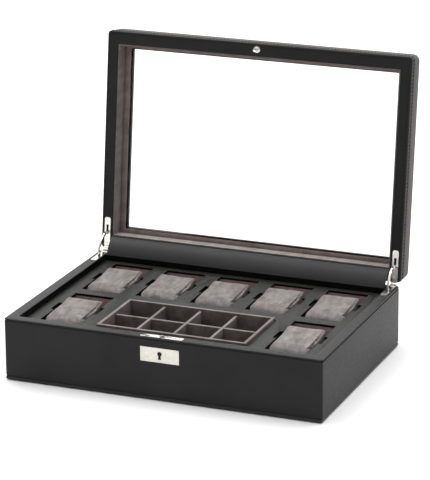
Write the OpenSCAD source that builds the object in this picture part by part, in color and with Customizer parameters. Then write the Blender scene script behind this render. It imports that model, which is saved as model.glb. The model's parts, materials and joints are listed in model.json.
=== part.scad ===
// Watch box: a leather-wrapped case with a hinged glass lid, seven lift-out watch
// cushions, a lift-out tray with eight compartments, and a cam lock.
// The origin is the middle of the underside, +Z is up and the front faces -Y.
// The lid is drawn open, on its stays. Sizes are in millimetres.

/* [Case] */
// Width over the side walls
box_w = 340; // [334:1:350]
// Depth over the front and back walls
box_d = 236; // [230:1:250]
// Height of the case, from the table to its rim
base_h = 66; // [62:1:80]
// Thickness of the leather-wrapped walls
wall_t = 11.5; // [11.5:0.1:12.5]
// Thickness of the plate under the case, leather and all
plate_t = 3.8; // [3:0.1:5]
// Drop from the rim to the top of the deck
deck_drop = 6.6; // [5:0.1:9]
// Thickness of the deck board
deck_t = 4; // [3:0.1:5]

/* [Lid] */
// Height of the lid over its side rails
lid_h = 28.6; // [27:0.1:34]
// Thickness of the two side rails
side_rail_t = 12.4; // [12:0.1:14]
// Thickness of the front and back rails
front_rail_t = 13.8; // [12.4:0.1:15]
// Width of the frame that holds the glass
frame_w = 20.8; // [18:0.1:26]
// Thickness of that frame
frame_t = 5; // [4:0.1:6]
// Thickness of the glass
glass_t = 3; // [2:0.1:3.2]
// Angle from closed to open
open_angle = 97; // [90:0.5:100]

/* [Watch wells] */
// Distance from one well to the next along the row
pitch = 60.6; // [58:0.1:61]
// Width of a well's opening
open_w = 43.6; // [42:0.1:45]
// Length of a well's opening
open_l = 88.2; // [86:0.1:89]
// Width across the two finger notches
notch_w = 51.2; // [48:0.1:52]
// Length of a finger notch
notch_l = 20.4; // [16:0.1:24]
// Distance of each row's middle from the middle of the case
row_y = 51.2; // [50:0.1:52]
// Distance of a well's middle behind its cushion's middle
well_shift = 3.8; // [3:0.1:4.5]

/* [Cushions] */
// Width of a cushion
cushion_w = 40.8; // [38:0.1:41]
// Length of a cushion, front to back
cushion_l = 70; // [64:0.1:72]
// How far a cushion stands above the deck
cushion_rise = 5.2; // [2:0.1:8]
// Radius of a cushion's rounded edges
cushion_r = 16; // [10:0.5:20]

/* [Tray] */
// Width of the tray
tray_w = 161.2; // [156:0.1:162]
// Depth of the tray, front to back
tray_d = 83; // [78:0.1:84]
// Height of the tray
tray_h = 34; // [28:0.5:40]
// How far the tray's top stands above the deck
tray_rise = 3; // [0.5:0.1:4]
// Thickness of the tray's walls
tray_wall = 3.2; // [2.6:0.1:4]
// Thickness of the dividers
divider_t = 3; // [2.4:0.1:3.6]
// Number of compartments along each row of the tray
tray_columns = 4; // [2:1:5]

/* [Hardware] */
// Length of a hinge leaf from its knuckle
leaf_l = 36; // [34:0.5:40]
// Width of a hinge leaf
leaf_w = 6.6; // [6:0.1:7]
// Radius of the curved stays, measured from the hinge pin
stay_r = 20; // [19:0.5:21]
// Width of the keyhole plate
key_plate_w = 41.4; // [38:0.1:44]
// Height of the keyhole plate
key_plate_h = 15.3; // [14:0.1:17]
// Width of the plate that the lid's stud enters
strike_w = 45; // [43:0.1:48]

/* [Hidden] */
$fn = 64;

// Running clearances and thin gaps
cut = 1;            // how far a cutter runs past a face
slip = 0.05;        // radial play of a pin in its bore, and round an inlaid leaf
play = 0.3;         // room between pieces that pass each other
seam = 0.8;         // width and depth of the groove above the base plate
lid_gap = 0.4;      // gap between the closed lid's rim and the case's rim

// Levels in the case, from the table up
felt_t = 0.8;
board_t = 5;
floor_t = 1.4;
plate_z = felt_t + plate_t;
board_z = plate_z + board_t;
floor_z = board_z + floor_t;
deck_z = base_h - deck_drop;
deck_low = deck_z - deck_t;
inner_w = box_w - 2 * wall_t;
inner_d = box_d - 2 * wall_t;
felt_inset = 5;
plate_r = 2;

// Boards that divide the case into wells
lining_t = 1.6;
lining_gap = 0.3;
well_half_w = notch_w / 2 + 0.4;
well_half_l = open_l / 2 + lining_gap;
cross_t = pitch - 2 * well_half_w;
row_span = 2 * (2 * pitch + well_half_w + lining_t);

// Tray
tray_top = deck_z + tray_rise;
tray_low = tray_top - tray_h;
tray_floor_t = 2.4;
tray_y = -row_y + 1.2;
tray_play = 0.6;
bearer_w = 10;

// Lid, in its closed place
lid_low = base_h + lid_gap;
lid_top = lid_low + lid_h;
frame_low = lid_top - frame_t;
glass_low = frame_low - glass_t;
retainer_t = 1.6;
frame_overhang = 1.4;
retainer_low = glass_low - retainer_t;
side_lining_t = 1.4;
side_lining_edge = 0.8;

// Hinges
pivot_y = box_d / 2 + 2.2;
pivot_z = base_h + lid_gap / 2;
hinge_x = box_w / 2 - 6.8;
leaf_t = 1.6;
leaf_end_r = 2.2;
barrel_r = 1.9;
pin_r = 0.9;
lid_barrel_w = 2.2;
barrel_gap = 0.15;
stay_half = 1.3;
stay_t = 1.8;
stay_head_t = 3.6;
stay_head_half = 1.6;
stay_clear = 6;
stay_head = 6;
mortise_t = 4.4;
mortise_half = 2;
leaf_slot = 2.6;
leaf_slot_near = stay_r - 2.4;
leaf_slot_far = stay_r + 2.4;
lid_slot_far = stay_r + 8;
screw_y = [8, 32];
screw_r = 1;
screw_head_r = 2;
screw_l = 9;
screw_cone = 1;

// Leather flap between the case and the lid
flap_t = 1.3;
flap_bulge = 1.6;
flap_steps = 10;
flap_edge = 0.2;

// Lock
front_y = -box_d / 2;
stud_y = front_y + 6.4;
key_z = base_h - 15.9;
key_plate_z = base_h - 9.6 - key_plate_h / 2;
key_plate_t = 1.2;
key_plate_inset = 0.5;
key_r = 2.4;
key_slot_half = 0.8;
key_slot_foot = 1.6;
key_slot_l = 5.8;
strike_d = 6.4;
strike_t = 1.2;
strike_r = 2.6;
stud_r = 2.2;
stud_neck_r = 1.2;
stud_flange_r = 3.7;
stud_flange_t = 0.7;
case_half_w = 20;
case_y0 = front_y + 2.8;
case_y1 = front_y + wall_t - 1.1;
case_low = base_h - 26.8;
case_top = base_h - strike_t - 0.1;
case_wall = 0.8;
cam_r = 4.6;
journal_r = 3.4;
crank_e = 3.2;
crank_r = 0.9;
crank_angle = 45;
fork_half = 2.5;
fork_slot = 3;
fork_tip = -2.6;

// Wells as [column, row]: column 0 is the middle one, row 1 is the back row
WELLS = [[-2, 1], [-1, 1], [0, 1], [1, 1], [2, 1], [-2, -1], [2, -1]];

// ---------- shared shapes ----------

// A box from its lowest corner to its highest corner
module span(low, high) {
  translate(low) cube([for (i = [0:2]) high[i] - low[i]]);
}

// A flat outline with rounded corners, centred on the origin
module round_rect(w, h, r) {
  square([w - 2 * r, h], center = true);
  square([w, h - 2 * r], center = true);
  for (x = [-1, 1], y = [-1, 1])
    translate([x * (w / 2 - r), y * (h / 2 - r)]) circle(r);
}

// A bar bent round the hinge pin: angles run from the front (-Y) up towards +Z
module bent_bar(half, thick, from, to) {
  rotate([90, 0, -90]) rotate([0, 0, from])
    rotate_extrude(angle = to - from, $fn = 96)
      translate([stay_r - half, -thick / 2]) square([2 * half, thick]);
}

// Moves a left-hand hinge piece from the pin's own frame to its place
module at_hinge(side) {
  translate([side * hinge_x, pivot_y, pivot_z]) children();
}

// Turns a lid piece from its closed place to its open place
module opened() {
  translate([0, pivot_y, pivot_z]) rotate([-open_angle, 0, 0])
    translate([0, -pivot_y, -pivot_z]) children();
}

// Turns a lid piece in the pin's own frame
module swung() {
  rotate([-open_angle, 0, 0]) children();
}

// ---------- case ----------

module underside_felt() {
  color("dimgray") linear_extrude(felt_t)
    round_rect(box_w - 2 * felt_inset, box_d - 2 * felt_inset, 2 * plate_r);
}

module base_plate() {
  color("black") translate([0, 0, felt_t]) linear_extrude(plate_t)
    round_rect(box_w, box_d, plate_r);
}

module bottom_board() {
  color("burlywood") translate([0, 0, plate_z + board_t / 2])
    cube([inner_w - 2 * slip, inner_d - 2 * slip, board_t], center = true);
}

// The pocket for a base leaf and the curved mortise for its stay
module hinge_cuts(side, up) {
  at_hinge(side) {
    pocket_low = up > 0 ? lid_gap / 2 - cut : -lid_gap / 2 - leaf_t;
    translate([0, 0, pocket_low]) linear_extrude(leaf_t + cut) leaf_2d(slip);
    bent_bar(mortise_half, mortise_t, up > 0 ? -4 : -stay_turn, up > 0 ? stay_turn : 4);
    for (y = screw_y)
      translate([0, -y, up > 0 ? 0 : -screw_l - leaf_t])
        cylinder(r = screw_r + slip, h = screw_l + leaf_t);
  }
}

// The largest angle a stay's end reaches inside its mortise, with room to spare
stay_turn = open_angle / 2 + stay_clear + stay_head + 2.5;

// The narrow groove that runs round the case just above its base plate
module seam_groove() {
  translate([0, 0, plate_z - cut]) linear_extrude(seam + cut) difference() {
    square([box_w + 2 * cut, box_d + 2 * cut], center = true);
    square([box_w - 2 * seam, box_d - 2 * seam], center = true);
  }
}

module left_wall() {
  color("black") difference() {
    span([-box_w / 2, -box_d / 2, plate_z], [-box_w / 2 + wall_t, box_d / 2, base_h]);
    seam_groove();
    hinge_cuts(-1, -1);
  }
}

module right_wall() {
  mirror([1, 0, 0]) left_wall();
}

module plain_front_wall() {
  difference() {
    span([-inner_w / 2, front_y, plate_z], [inner_w / 2, front_y + wall_t, base_h]);
    seam_groove();
  }
}

module back_wall() {
  color("black") mirror([0, 1, 0]) plain_front_wall();
}

// The keyhole's outline, with its round eye at the origin
module keyhole_2d(grow) {
  circle(key_r + grow);
  polygon([
    [-key_slot_half - grow, 0], [key_slot_half + grow, 0],
    [key_slot_foot + grow, -key_slot_l - grow], [-key_slot_foot - grow, -key_slot_l - grow]
  ]);
}

module front_wall() {
  color("black") difference() {
    plain_front_wall();
    span([-strike_w / 2 - slip, stud_y - strike_d / 2 - slip, base_h - strike_t],
         [strike_w / 2 + slip, stud_y + strike_d / 2 + slip, base_h + cut]);
    span([-case_half_w - slip, case_y0 - slip, case_low - slip],
         [case_half_w + slip, case_y1 + slip, base_h - strike_t + slip]);
    translate([0, front_y + key_plate_inset, key_plate_z]) rotate([90, 0, 0])
      linear_extrude(key_plate_inset + cut)
        square([key_plate_w + 2 * slip, key_plate_h + 2 * slip], center = true);
    translate([0, case_y0 + cut, key_z]) rotate([90, 0, 0])
      linear_extrude(wall_t) keyhole_2d(1);
  }
}

module well_floor() {
  color("dimgray") translate([0, 0, board_z + floor_t / 2])
    cube([inner_w - 2 * slip, inner_d - 2 * slip, floor_t], center = true);
}

// A thin board across the ends of the wells: row is 1 or -1, and end is 1 for the rear edge
module long_board(x0, x1, row, end) {
  mid_y = row * row_y + well_shift + end * (well_half_l + lining_t / 2);
  span([x0, mid_y - lining_t / 2, floor_z], [x1, mid_y + lining_t / 2, deck_low]);
}

module back_long_board(end) {
  color("dimgray") long_board(-row_span / 2, row_span / 2, 1, end);
}

// The front row has one board at each side, clear of the tray
module front_long_boards(end) {
  color("dimgray") for (side = [0, 1]) mirror([side, 0, 0])
    long_board(2 * pitch - well_half_w - cross_t, row_span / 2, -1, end);
}

// A board beside a well, running front to back
module side_board(x0, x1, row) {
  mid_y = row * row_y + well_shift;
  span([x0, mid_y - well_half_l, floor_z], [x1, mid_y + well_half_l, deck_low]);
}

module cross_board(column, row) {
  side_board(column * pitch - cross_t / 2, column * pitch + cross_t / 2, row);
}

module back_cross_boards() {
  color("dimgray") for (column = [-1.5, -0.5, 0.5, 1.5]) cross_board(column, 1);
}

module front_cross_boards() {
  color("dimgray") for (column = [-1.5, 1.5]) cross_board(column, -1);
}

module well_end_boards() {
  x0 = 2 * pitch + well_half_w;
  color("dimgray") for (side = [0, 1], row = [-1, 1])
    mirror([side, 0, 0]) side_board(x0, x0 + lining_t, row);
}

module tray_bearers() {
  color("burlywood") for (side = [-1, 1])
    translate([side * (tray_w / 2 - bearer_w), tray_y, (floor_z + tray_low) / 2])
      cube([bearer_w, tray_d - 2 * bearer_w, tray_low - floor_z], center = true);
}

module deck_panel() {
  color("darkslategray") translate([0, 0, deck_low]) linear_extrude(deck_t) difference() {
    square([inner_w - 2 * lining_gap, inner_d - 2 * lining_gap], center = true);
    for (w = WELLS) translate([w[0] * pitch, w[1] * row_y + well_shift]) {
      square([open_w, open_l], center = true);
      square([notch_w, notch_l], center = true);
    }
    translate([0, tray_y])
      square([tray_w + 2 * tray_play, tray_d + 2 * tray_play], center = true);
  }
}

// ---------- cushions ----------

module cushion(i) {
  low = floor_z + play;
  high = deck_z + cushion_rise;
  color("gray") translate([WELLS[i][0] * pitch, WELLS[i][1] * row_y, (low + high) / 2])
    rotate([90, 0, 90]) translate([0, 0, -cushion_w / 2]) linear_extrude(cushion_w)
      round_rect(cushion_l, high - low, cushion_r);
}

// ---------- tray ----------

module tray_floor() {
  color("dimgray") translate([0, tray_y, tray_low + tray_floor_t / 2])
    cube([tray_w - 2 * tray_wall, tray_d - 2 * tray_wall, tray_floor_t], center = true);
}

module tray_end_wall(end) {
  color("dimgray") translate([0, tray_y + end * (tray_d - tray_wall) / 2, tray_low + tray_h / 2])
    cube([tray_w, tray_wall, tray_h], center = true);
}

module tray_side_wall(side) {
  color("dimgray")
    translate([side * (tray_w - tray_wall) / 2, tray_y, tray_low + tray_h / 2])
      cube([tray_wall, tray_d - 2 * tray_wall, tray_h], center = true);
}

function divider_x(i) = (i - tray_columns / 2) * (tray_w - tray_wall) / tray_columns;
divider_low = tray_low + tray_floor_t;
divider_half = (tray_top + divider_low) / 2;

module tray_long_divider() {
  color("dimgray") difference() {
    translate([0, tray_y, divider_half])
      cube([tray_w - 2 * tray_wall, divider_t, tray_top - divider_low], center = true);
    for (i = [1:tray_columns - 1])
      translate([divider_x(i), tray_y, tray_top])
        cube([divider_t + 2 * slip, divider_t + cut, tray_top - divider_low], center = true);
  }
}

module tray_cross_dividers() {
  color("dimgray") for (i = [1:tray_columns - 1]) difference() {
    translate([divider_x(i), tray_y, divider_half])
      cube([divider_t, tray_d - 2 * tray_wall, tray_top - divider_low], center = true);
    translate([divider_x(i), tray_y, divider_low])
      cube([divider_t + cut, divider_t + 2 * slip, tray_top - divider_low], center = true);
  }
}

// ---------- lock ----------

module keyhole_plate() {
  color("silver") translate([0, front_y + key_plate_inset, key_plate_z]) rotate([90, 0, 0])
    linear_extrude(key_plate_t) difference() {
      square([key_plate_w, key_plate_h], center = true);
      translate([0, key_z - key_plate_z]) keyhole_2d(0);
    }
}

module strike_plate() {
  color("silver") difference() {
    translate([0, stud_y, base_h - strike_t / 2])
      cube([strike_w, strike_d, strike_t], center = true);
    translate([0, stud_y, base_h - strike_t - cut]) cylinder(r = strike_r, h = strike_t + 2 * cut);
  }
}

module lock_case() {
  color("silver") difference() {
    span([-case_half_w, case_y0, case_low], [case_half_w, case_y1, case_top]);
    span([-case_half_w + case_wall, case_y0 + case_wall, case_low + case_wall],
         [case_half_w - case_wall, case_y1 - case_wall, case_top + cut]);
    translate([0, case_y0 + case_wall + cut, key_z]) rotate([90, 0, 0])
      cylinder(r = journal_r + slip, h = case_wall + 2 * cut);
  }
}

// The part the key turns, drawn unlocked, with its crank pin up and to the left
module lock_cam() {
  disc_y = front_y + 4;
  disc_t = 2;
  crank_l = 2.4;
  color("silver") difference() {
    union() {
      translate([0, disc_y + disc_t, key_z]) rotate([90, 0, 0]) cylinder(r = cam_r, h = disc_t);
      translate([0, disc_y, key_z]) rotate([90, 0, 0])
        cylinder(r = journal_r, h = disc_y - case_y0);
      rotate_about_key(-crank_angle) translate([0, disc_y + disc_t + crank_l, key_z + crank_e])
        rotate([90, 0, 0]) cylinder(r = crank_r, h = crank_l + slip);
    }
    translate([0, disc_y, key_z])
      cube([2 * key_slot_half, disc_t, 2 * journal_r - 1], center = true);
  }
}

module rotate_about_key(angle) {
  translate([0, 0, key_z]) rotate([0, angle, 0]) translate([0, 0, -key_z]) children();
}

// Forked bolt that slides along X; its upright arm is moved by the crank pin
module lock_bolt() {
  bolt_low = base_h - 3.7;
  bolt_t = 1.4;
  bolt_left = -17;
  arm_y = front_y + 7.2;
  arm_right = 1.4;
  arm_top = key_z + crank_e + crank_r + 1.6;
  post_right = fork_tip - 2 * crank_e * sin(crank_angle) - play;
  crank_x = -crank_e * sin(crank_angle);
  slot_low = key_z + crank_e * cos(crank_angle) - crank_r - play;
  slot_high = key_z + crank_e + crank_r + play;
  color("silver") {
    difference() {
      span([bolt_left, stud_y - fork_half, bolt_low],
           [fork_tip, stud_y + fork_half, bolt_low + bolt_t]);
      span([fork_tip - 5.4, stud_y - fork_slot / 2, bolt_low - cut],
           [fork_tip + cut, stud_y + fork_slot / 2, bolt_low + bolt_t + cut]);
    }
    difference() {
      union() {
        span([bolt_left, arm_y, slot_low - cut], [post_right, arm_y + bolt_t, bolt_low]);
        span([bolt_left, arm_y, slot_low - cut], [arm_right, arm_y + bolt_t, arm_top]);
      }
      span([crank_x - crank_r - play, arm_y - cut, slot_low],
           [crank_x + crank_r + play, arm_y + bolt_t + cut, slot_high]);
    }
  }
}

// ---------- lid, in its closed place, then opened ----------

module lid_side_rail() {
  difference() {
    span([-box_w / 2, -box_d / 2, lid_low], [-box_w / 2 + side_rail_t, box_d / 2, frame_low]);
    hinge_cuts(-1, 1);
  }
}

module lid_left_rail() {
  color("black") opened() lid_side_rail();
}

module lid_right_rail() {
  color("black") opened() mirror([1, 0, 0]) lid_side_rail();
}

module plain_lid_front_rail() {
  half_w = box_w / 2 - side_rail_t;
  span([-half_w, front_y, lid_low], [half_w, front_y + front_rail_t, frame_low]);
}

module lid_front_rail() {
  color("black") opened() difference() {
    plain_lid_front_rail();
    translate([0, stud_y, lid_low - cut]) cylinder(r = stud_flange_r + slip, h = cut + stud_flange_t);
    translate([0, stud_y, lid_low]) cylinder(r = screw_r + slip, h = screw_l);
  }
}

module lid_back_rail() {
  color("black") opened() mirror([0, 1, 0]) plain_lid_front_rail();
}

module lid_top_frame() {
  color("black") opened() translate([0, 0, frame_low]) linear_extrude(frame_t) difference() {
    square([box_w, box_d], center = true);
    round_rect(box_w - 2 * frame_w, box_d - 2 * frame_w, plate_r);
  }
}

module lid_glass() {
  color("lightblue", 0.3) opened() translate([0, 0, glass_low + glass_t / 2])
    cube([box_w - 2 * side_rail_t - 2 * play, box_d - 2 * front_rail_t - 2 * play, glass_t],
         center = true);
}

// Its opening is wider than the frame's, so the frame's leather edge shows past it
module glass_retainer() {
  retainer_w = frame_w - frame_overhang;
  color("gray") opened() translate([0, 0, retainer_low]) linear_extrude(retainer_t) difference() {
    square([box_w - 2 * side_rail_t - 2 * play, box_d - 2 * front_rail_t - 2 * play],
           center = true);
    round_rect(box_w - 2 * retainer_w, box_d - 2 * retainer_w, plate_r);
  }
}

// Four suede strips on the inner faces of the rails
module lid_side_linings() {
  low = lid_low + side_lining_edge;
  high = retainer_low - retainer_t;
  half_w = box_w / 2 - side_rail_t;
  half_d = box_d / 2 - front_rail_t;
  color("gray") opened() for (end = [0, 1]) {
    mirror([end, 0, 0]) span([-half_w, -half_d, low], [-half_w + side_lining_t, half_d, high]);
    mirror([0, end, 0]) span([-half_w + side_lining_t, -half_d, low],
                             [half_w - side_lining_t, -half_d + side_lining_t, high]);
  }
}

// Flanged stud whose neck the bolt's fork passes on each side of
module lid_stud() {
  neck_low = base_h - 4;
  neck_high = base_h - 1.6;
  tip_low = base_h - 5.6;
  color("silver") opened() translate([0, stud_y, 0]) {
    translate([0, 0, lid_low]) cylinder(r = stud_flange_r, h = stud_flange_t);
    translate([0, 0, neck_high]) cylinder(r = stud_r, h = lid_low - neck_high);
    translate([0, 0, neck_low]) cylinder(r = stud_neck_r, h = neck_high - neck_low);
    translate([0, 0, tip_low]) cylinder(r = stud_r, h = neck_low - tip_low);
    translate([0, 0, lid_low + stud_flange_t]) cylinder(r = screw_r, h = screw_l - 2);
  }
}

// ---------- hinges, in the pin's own frame ----------

// Outline of a leaf from its round-cornered end to the pin
module leaf_2d(grow) {
  translate([0, -leaf_l / 2 + leaf_end_r / 2])
    square([leaf_w + 2 * grow, leaf_l - leaf_end_r], center = true);
  translate([0, -leaf_l + leaf_end_r])
    square([leaf_w - 2 * leaf_end_r, 2 * leaf_end_r + 2 * grow], center = true);
  for (side = [-1, 1])
    translate([side * (leaf_w / 2 - leaf_end_r), -leaf_l + leaf_end_r])
      circle(leaf_end_r + grow);
}

// A knuckle along the pin, from x0 to x1
module barrel(x0, x1, r) {
  translate([x0, 0, 0]) rotate([0, 90, 0]) cylinder(r = r, h = x1 - x0);
}

// A leaf with its plate below the pin; own_knuckles and other_knuckles are [x0, x1] pairs
module leaf(own_knuckles, other_knuckles, slot_far) {
  difference() {
    union() {
      translate([0, 0, -lid_gap / 2 - leaf_t]) linear_extrude(leaf_t) leaf_2d(0);
      for (k = own_knuckles) barrel(k[0], k[1], barrel_r);
    }
    for (k = other_knuckles) barrel(k[0], k[1], barrel_r + play);
    barrel(-leaf_w, leaf_w, pin_r + slip);
    span([-leaf_slot / 2, -slot_far, -leaf_t - cut], [leaf_slot / 2, -leaf_slot_near, 0]);
    for (y = screw_y) translate([0, -y, -lid_gap / 2]) {
      translate([0, 0, -leaf_t - cut]) cylinder(r = screw_r + slip, h = leaf_t + 2 * cut);
      translate([0, 0, -screw_cone]) cylinder(r1 = screw_r + slip, r2 = screw_head_r + slip,
                                              h = screw_cone);
    }
  }
}

lid_knuckle = lid_barrel_w / 2;
base_knuckle = lid_knuckle + barrel_gap;

module base_leaf(side) {
  color("silver") at_hinge(side)
    leaf([[-leaf_w / 2, -base_knuckle], [base_knuckle, leaf_w / 2]],
         [[-base_knuckle, base_knuckle]], leaf_slot_far);
}

module lid_leaf(side) {
  color("silver") at_hinge(side) swung() mirror([0, 0, 1])
    leaf([[-lid_knuckle, lid_knuckle]],
         [[-leaf_w, -lid_knuckle], [lid_knuckle, leaf_w]], lid_slot_far);
}

module hinge_pin(side) {
  color("silver") at_hinge(side) barrel(-leaf_w / 2, leaf_w / 2, pin_r);
}

// Curved stay: it floats in both leaves, and a wider head at each end stops it
module stay(side) {
  color("silver") at_hinge(side) {
    bent_bar(stay_half, stay_t, -stay_clear - cut, open_angle + stay_clear + cut);
    bent_bar(stay_head_half, stay_head_t, -stay_clear - stay_head, -stay_clear);
    bent_bar(stay_head_half, stay_head_t, open_angle + stay_clear,
             open_angle + stay_clear + stay_head);
  }
}

// A countersunk screw with its head at the top and a cross recess in it
module wood_screw() {
  recess_l = 2.4;
  recess_t = 0.5;
  difference() {
    union() {
      translate([0, 0, -screw_cone]) cylinder(r1 = screw_r, r2 = screw_head_r, h = screw_cone);
      translate([0, 0, -screw_l]) cylinder(r = screw_r, h = screw_l - screw_cone);
    }
    cube([recess_l, recess_t, 2 * recess_t], center = true);
    cube([recess_t, recess_l, 2 * recess_t], center = true);
  }
}

module base_hinge_screws() {
  color("silver") for (side = [-1, 1], y = screw_y)
    at_hinge(side) translate([0, -y, -lid_gap / 2 - slip]) wood_screw();
}

module lid_hinge_screws() {
  color("silver") for (side = [-1, 1], y = screw_y)
    at_hinge(side) swung() mirror([0, 0, 1]) translate([0, -y, -lid_gap / 2 - slip]) wood_screw();
}

// ---------- leather flap that closes the gap behind the wells ----------

// A point of the open lid, at a distance along it from the pin and a height above the pin
function lid_point(along, above) = [
  pivot_y - along * cos(open_angle) + above * sin(open_angle),
  pivot_z + along * sin(open_angle) + above * cos(open_angle)
];

// The flap's front, or its back when shift is its thickness along the two rims
function flap_line(shift) =
  let (low = [box_d / 2 - wall_t + flap_edge + shift, base_h + slip],
       along = front_rail_t + pivot_y - box_d / 2 - flap_edge - shift,
       high = lid_point(along, lid_gap / 2 - slip),
       run = high - low,
       out = [-run[1], run[0]] / norm(run))
  [for (i = [0:flap_steps])
    let (t = i / flap_steps) low + t * run + 4 * flap_bulge * t * (1 - t) * out];

// Soft strip from the inner edge of the back wall's rim to the inner edge of the lid's back rail
module hinge_flap() {
  front = flap_line(0);
  back = flap_line(flap_t);
  half_w = box_w / 2 - side_rail_t - play;
  color("black") rotate([90, 0, 90]) translate([0, 0, -half_w]) linear_extrude(2 * half_w)
    polygon(concat(front, [for (i = [flap_steps:-1:0]) back[i]]));
}

// ---------- what is drawn ----------

underside_felt();
base_plate();
bottom_board();
front_wall();
back_wall();
left_wall();
right_wall();
well_floor();
back_long_board(1);  // back_wells_rear_board
back_long_board(-1);  // back_wells_front_board
front_long_boards(1);  // front_wells_rear_boards
front_long_boards(-1);  // front_wells_front_boards
back_cross_boards();
front_cross_boards();
well_end_boards();
tray_bearers();
deck_panel();
cushion(0);  // cushion_back_1
cushion(1);  // cushion_back_2
cushion(2);  // cushion_back_3
cushion(3);  // cushion_back_4
cushion(4);  // cushion_back_5
cushion(5);  // cushion_front_left
cushion(6);  // cushion_front_right
tray_floor();
tray_end_wall(-1);  // tray_front_wall
tray_end_wall(1);  // tray_back_wall
tray_side_wall(-1);  // tray_left_wall
tray_side_wall(1);  // tray_right_wall
tray_long_divider();
tray_cross_dividers();
keyhole_plate();
strike_plate();
lock_case();
lock_cam();
lock_bolt();
lid_front_rail();
lid_back_rail();
lid_left_rail();
lid_right_rail();
lid_top_frame();
lid_glass();
glass_retainer();
lid_side_linings();
lid_stud();
base_leaf(-1);  // left_base_leaf
base_leaf(1);  // right_base_leaf
lid_leaf(-1);  // left_lid_leaf
lid_leaf(1);  // right_lid_leaf
hinge_pin(-1);  // left_hinge_pin
hinge_pin(1);  // right_hinge_pin
stay(-1);  // left_stay
stay(1);  // right_stay
base_hinge_screws();
lid_hinge_screws();
hinge_flap();
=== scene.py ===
# %% [markdown]
# # A leather watch box
# The box is a leather-wrapped case with a hinged glass lid, seven padded watch cushions and a
# suede tray. The engineering model already fixes every size, so this lesson only gives it looks:
# rounded leather, sewn thread, suede and polished nickel, and a bright studio around it.
# First the fixed frame is loaded.

# %% Load the frame
import json
import math
import bmesh
import bpy
from mathutils import Matrix, Vector, noise


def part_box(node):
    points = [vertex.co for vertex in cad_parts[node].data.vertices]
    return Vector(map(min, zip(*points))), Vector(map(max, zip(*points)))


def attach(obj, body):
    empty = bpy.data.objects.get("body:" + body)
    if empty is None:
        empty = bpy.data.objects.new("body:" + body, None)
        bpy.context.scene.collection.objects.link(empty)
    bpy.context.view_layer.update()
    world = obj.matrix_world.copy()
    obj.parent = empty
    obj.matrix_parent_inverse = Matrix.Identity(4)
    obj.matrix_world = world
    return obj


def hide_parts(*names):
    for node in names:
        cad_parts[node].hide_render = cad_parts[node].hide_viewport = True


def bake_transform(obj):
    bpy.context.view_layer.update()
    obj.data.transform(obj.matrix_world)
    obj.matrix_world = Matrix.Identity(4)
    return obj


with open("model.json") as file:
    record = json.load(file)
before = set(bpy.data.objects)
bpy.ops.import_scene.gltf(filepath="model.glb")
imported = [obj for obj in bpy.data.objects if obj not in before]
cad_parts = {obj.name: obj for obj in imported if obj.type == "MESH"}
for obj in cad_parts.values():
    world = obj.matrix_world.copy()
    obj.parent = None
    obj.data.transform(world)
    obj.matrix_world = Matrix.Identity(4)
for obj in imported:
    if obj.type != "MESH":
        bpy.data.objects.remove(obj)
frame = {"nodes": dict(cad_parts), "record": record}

MM = 0.001
scene = bpy.context.scene
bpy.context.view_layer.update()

# %% [markdown]
# ## The case's main sizes
# Each size is read from the frame's own nodes, so the looks follow the engineering model if it
# changes. Lengths are in metres, as in Blender.

# %% Read the sizes
case_low, case_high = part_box("left_wall")
plate_low, plate_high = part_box("base_plate")
half_w, half_d = plate_high.x, plate_high.y
case_rim = case_high.z
wall = case_high.x + half_w
deck_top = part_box("deck_panel")[1].z
hinge = next(j for j in frame["record"]["behaviour"]["joints"] if j["name"] == "lid_hinge")
pivot = Vector(hinge["pos_m"])
open_angle = math.radians(hinge["range_deg"][1] - hinge["range_deg"][0])
opened = (Matrix.Translation(pivot) @ Matrix.Rotation(-open_angle, 4, "X")
          @ Matrix.Translation(-pivot))
lid_rim = 2 * pivot.z - case_rim
print(f"case {2000 * half_w:.0f} x {2000 * half_d:.0f} x {1000 * case_rim:.0f} mm")

# %% [markdown]
# ## Putting a finished piece in place
# Every piece made here except the flap ends the same way: its mesh already stands where it belongs,
# so the object stays at the origin. It is shaded smooth with crisp edges kept, gets its material, and
# is tied to the moving body it belongs to. One helper does all of that, so no piece is forgotten.

# %% Helper: place a piece
def place(mesh, name, material, body, nodes=(), crisp=40):
    mesh.name = name
    mesh.materials.clear()
    mesh.materials.append(material)
    mesh.polygons.foreach_set("use_smooth", [True] * len(mesh.polygons))
    mesh.set_sharp_from_angle(angle=math.radians(crisp))
    piece = bpy.data.objects.new(name, mesh)
    scene.collection.objects.link(piece)
    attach(piece, body)
    if nodes:
        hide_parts(*nodes)
    return piece


def second_material(piece, material, choose):
    piece.data.materials.append(material)
    index = len(piece.data.materials) - 1
    for face in piece.data.polygons:
        if choose(face):
            face.material_index = index


def mesh_of(shape, name):
    mesh = bpy.data.meshes.new(name)
    shape.to_mesh(mesh)
    shape.free()
    return mesh

# %% [markdown]
# ## Leather
# The case is wrapped in black full-grain leather. Close up it is a field of small soft pebbles
# with fine creases between them; from a distance it only looks satin. A Voronoi texture gives the
# pebbles, two noises give the creases and slow changes of shine. They feed bump and roughness,
# because black leather shows its grain by its highlights and hardly by its colour. The case's
# sides are dullest; the deck, the lid's sides and the flap are each a little lighter. The case's
# up-facing rim gets a lighter, shinier copy as painted highlight. Its inner faces, its fold and the
# deck's cut edges are painted dead black as shade, which gives the recess its depth.

# %% Helper: start a material
def start_material(name, **constants):
    material = bpy.data.materials.new(name)
    material.use_nodes = True
    nodes, links = material.node_tree.nodes, material.node_tree.links
    shader = nodes["Principled BSDF"]
    for socket, value in constants.items():
        shader.inputs[socket.replace("_", " ")].default_value = value
    return material, nodes, links, shader


def coordinates(nodes, attribute=None):
    if attribute is None:
        return nodes.new("ShaderNodeTexCoord").outputs["Object"]
    node = nodes.new("ShaderNodeAttribute")
    node.attribute_name = attribute
    return node.outputs["Vector"]


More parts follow.
